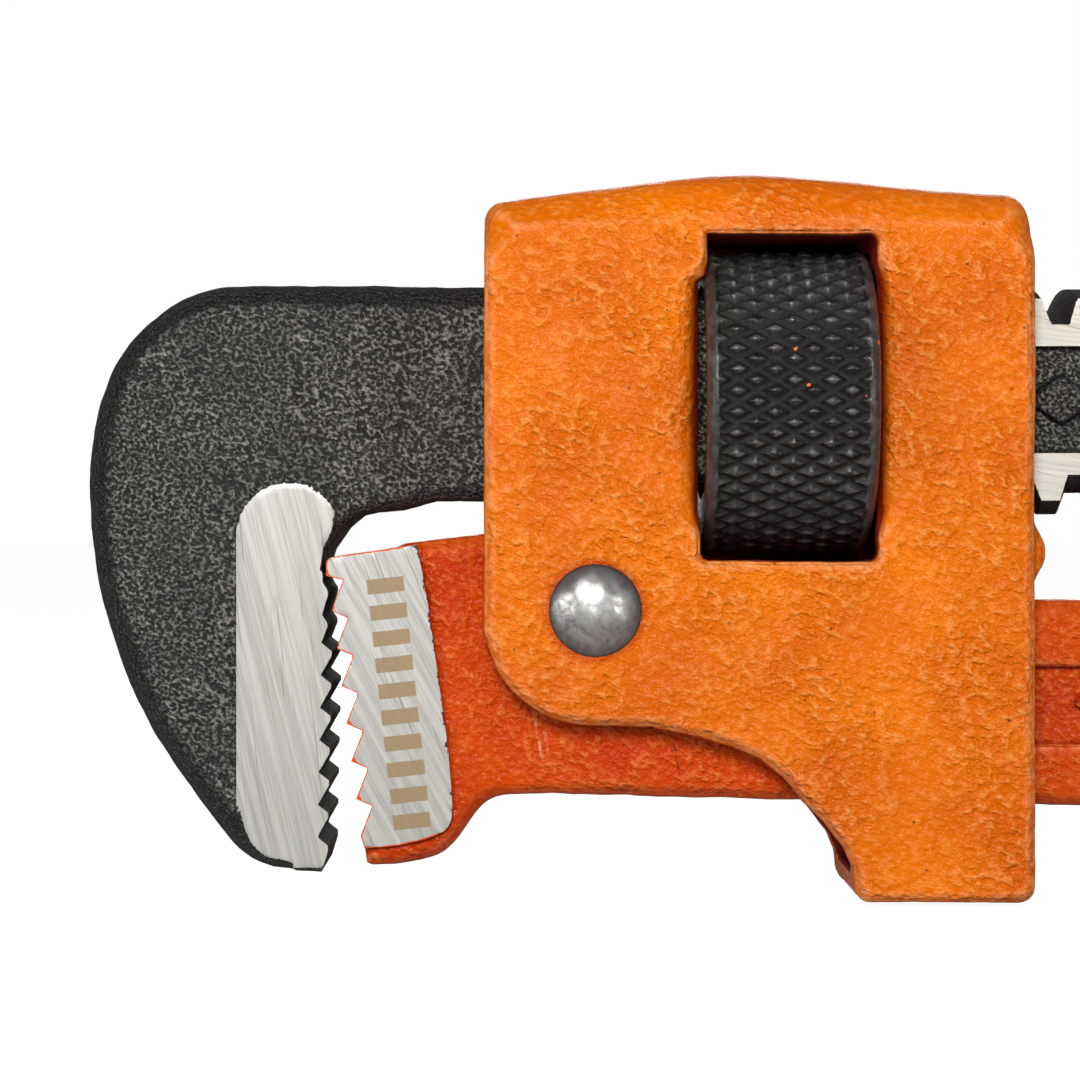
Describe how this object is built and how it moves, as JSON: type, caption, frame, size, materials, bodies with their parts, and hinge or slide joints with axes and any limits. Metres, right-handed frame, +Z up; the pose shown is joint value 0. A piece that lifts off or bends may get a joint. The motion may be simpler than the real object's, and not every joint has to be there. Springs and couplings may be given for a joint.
{
  "type": "pipe wrench",
  "caption": "Stillson-pattern pipe wrench: toothed hook jaw on a threaded shank, knurled adjusting nut, rocking housing and forged handle with a heel jaw.",
  "frame": {"origin": "middle of the hang hole near the handle's end", "axes": "+X along the handle, from the jaws towards the hang hole; +Y along the hang hole and the pivot rivet; +Z up, from the grip towards the adjusting nut"},
  "size_m": [0.2431, 0.028, 0.0664],
  "materials": {
    "handle_paint": "orange enamel over a coarse forged surface",
    "housing_paint": "orange enamel over a cast surface",
    "black_jaw": "black oxide forging with ground steel flats beside the teeth",
    "black_nut": "black oxide, diamond knurl",
    "rivet_steel": "turned bright steel",
    "spring_steel": "blued spring steel"
  },
  "bodies": {
    "handle": {"handle": "handle_paint"},
    "housing": {"housing": "housing_paint", "pivot_rivet": "rivet_steel", "jaw_spring": "spring_steel", "handle_spring": "spring_steel", "jaw_spring_rivet": "spring_steel", "handle_spring_rivet": "spring_steel"},
    "hook_jaw": {"hook_jaw": "black_jaw"},
    "adjusting_nut": {"adjusting_nut": "black_nut"}
  },
  "joints": [
    {"name": "housing_pivot", "type": "hinge", "parent": "handle", "child": "housing", "pos_m": [-0.187, 0, 0.0086], "axis": [0, 1, 0], "range_deg": [0, 2], "stiffness_Nm_per_rad": 18, "deforming": ["handle_spring"]},
    {"name": "jaw_slide", "type": "slide", "parent": "housing", "child": "hook_jaw", "axis": [-1, 0, 0], "range_m": [0, 0.057]},
    {"name": "nut_spin", "type": "hinge", "parent": "housing", "child": "adjusting_nut", "pos_m": [-0.1694, 0, 0.0278], "axis": [1, 0, 0], "continuous": true}
  ],
  "couplings": [
    {"joint": "nut_spin", "follows": "jaw_slide", "rad_per_m": 1256.6}
  ]
}
